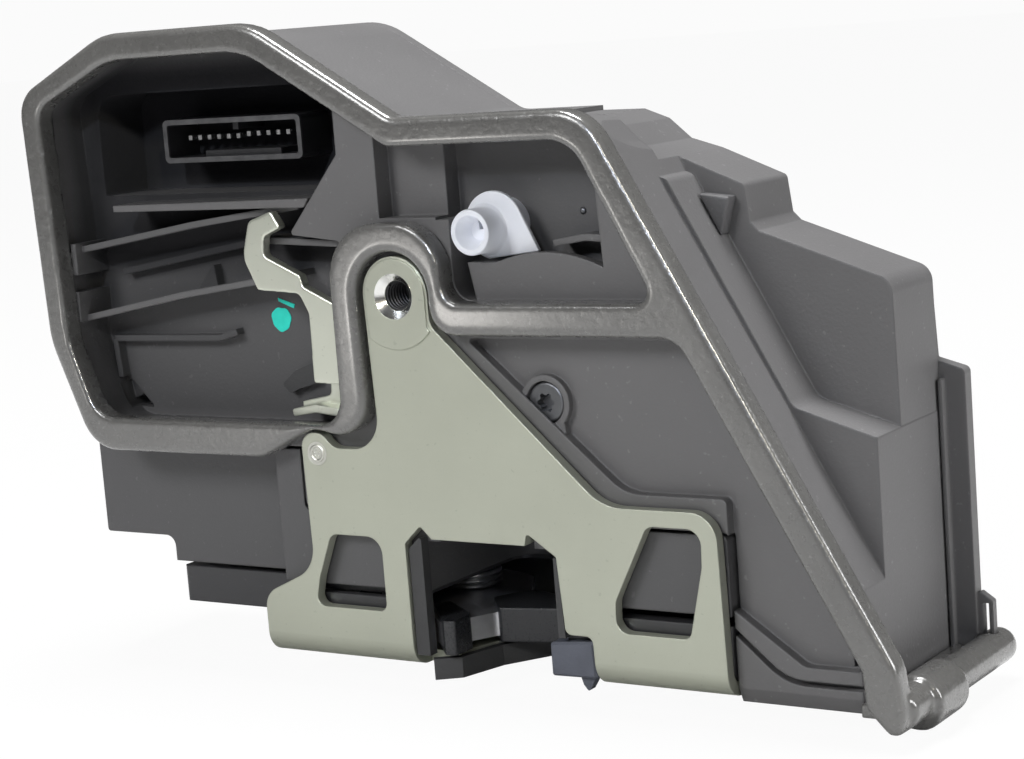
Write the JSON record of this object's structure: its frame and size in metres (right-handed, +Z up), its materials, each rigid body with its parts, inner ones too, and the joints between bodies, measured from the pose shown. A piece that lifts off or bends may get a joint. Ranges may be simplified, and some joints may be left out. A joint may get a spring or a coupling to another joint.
{
  "type": "door latch actuator",
  "caption": "Vehicle door latch with its electric lock actuator: moulded case, rubber rim seal, steel face plate, claw and pawl, release levers and white lock coupler.",
  "frame": {"origin": "on the front plane of the steel face plate, at the axis of its upper threaded hole", "axes": "+X right and +Z up as seen from the face plate, +Y into the door behind the plate"},
  "size_m": [0.1663, 0.0425, 0.1117],
  "materials": {
    "seal_rubber": "glossy closed-cell rubber skin",
    "black_plastic": "fine-grained black moulded plastic",
    "tray_plastic": "plain black moulded plastic",
    "zinc_plate": "zinc-plated sheet steel, faintly green, satin",
    "pin_steel": "plated steel, satin",
    "buffer_rubber": "soft black rubber",
    "terminal_brass": "bright brass",
    "board_laminate": "green board laminate",
    "screw_steel": "dark plated steel",
    "spring_steel": "bright spring wire",
    "claw_steel": "phosphated steel plate",
    "claw_plastic": "smooth black plastic jacket",
    "lever_zinc": "zinc-plated pressed steel, satin",
    "white_plastic": "smooth natural white plastic"
  },
  "bodies": {
    "housing": {"rim_seal": "seal_rubber", "front_housing": "black_plastic", "face_plate": "zinc_plate", "lower_case": "black_plastic", "claw_tray": "tray_plastic", "frame_plate": "zinc_plate", "claw_pin": "pin_steel", "pawl_pin": "pin_steel", "plate_rivet": "pin_steel", "mouth_liner": "buffer_rubber", "striker_buffer": "buffer_rubber", "lever_pin": "pin_steel", "lever_stop": "buffer_rubber", "motor_can": "zinc_plate", "motor_end_cap": "tray_plastic", "wheel_axle": "pin_steel", "connector_socket": "tray_plastic", "terminals": "terminal_brass", "circuit_board": "board_laminate", "microswitches": "tray_plastic", "rear_cover": "black_plastic", "cover_screws": "screw_steel", "front_screw": "screw_steel", "pawl_spring": "spring_steel", "lever_spring": "spring_steel"},
    "claw": {"claw": "claw_steel", "claw_jacket": "claw_plastic", "claw_spring": "spring_steel"},
    "pawl": {"pawl": "claw_steel"},
    "inner_lever": {"inner_release_lever": "lever_zinc"},
    "outer_lever": {"outer_release_lever": "lever_zinc"},
    "coupler": {"lock_coupler": "white_plastic"},
    "motor_shaft": {"worm": "terminal_brass"},
    "gear": {"worm_wheel": "white_plastic"}
  },
  "joints": [
    {"name": "claw_turn", "type": "hinge", "parent": "housing", "child": "claw", "pos_m": [-0.008, 0.027, -0.0568], "axis": [0, 0, 1], "range_deg": [0, 38], "stiffness_Nm_per_rad": 0.02, "springref_deg": -34.38},
    {"name": "pawl_turn", "type": "hinge", "parent": "housing", "child": "pawl", "pos_m": [-0.0245, 0.011, -0.0568], "axis": [0, 0, 1], "range_deg": [0, 8]},
    {"name": "inner_lever_turn", "type": "hinge", "parent": "housing", "child": "inner_lever", "pos_m": [-0.0168, 0.0046, -0.0096], "axis": [0, -1, 0], "range_deg": [0, 9]},
    {"name": "outer_lever_turn", "type": "hinge", "parent": "housing", "child": "outer_lever", "pos_m": [-0.0168, 0.0076, -0.0096], "axis": [0, 1, 0], "range_deg": [0, 15]},
    {"name": "coupler_turn", "type": "hinge", "parent": "housing", "child": "coupler", "pos_m": [0.0166, 0.0078, 0.0106], "axis": [0, -1, 0], "range_deg": [-20, 20]},
    {"name": "gear_turn", "type": "hinge", "parent": "housing", "child": "gear", "pos_m": [-0.0341, 0.0246, -0.01105], "axis": [0, 1, 0], "range_deg": [-45, 45]},
    {"name": "worm_turn", "type": "hinge", "parent": "housing", "child": "motor_shaft", "pos_m": [-0.034, 0.0246, 0.0012], "axis": [1, 0, 0], "range_deg": [-1080, 1080]}
  ],
  "couplings": [
    {"joint": "worm_turn", "follows": "gear_turn", "ratio": 24}
  ]
}
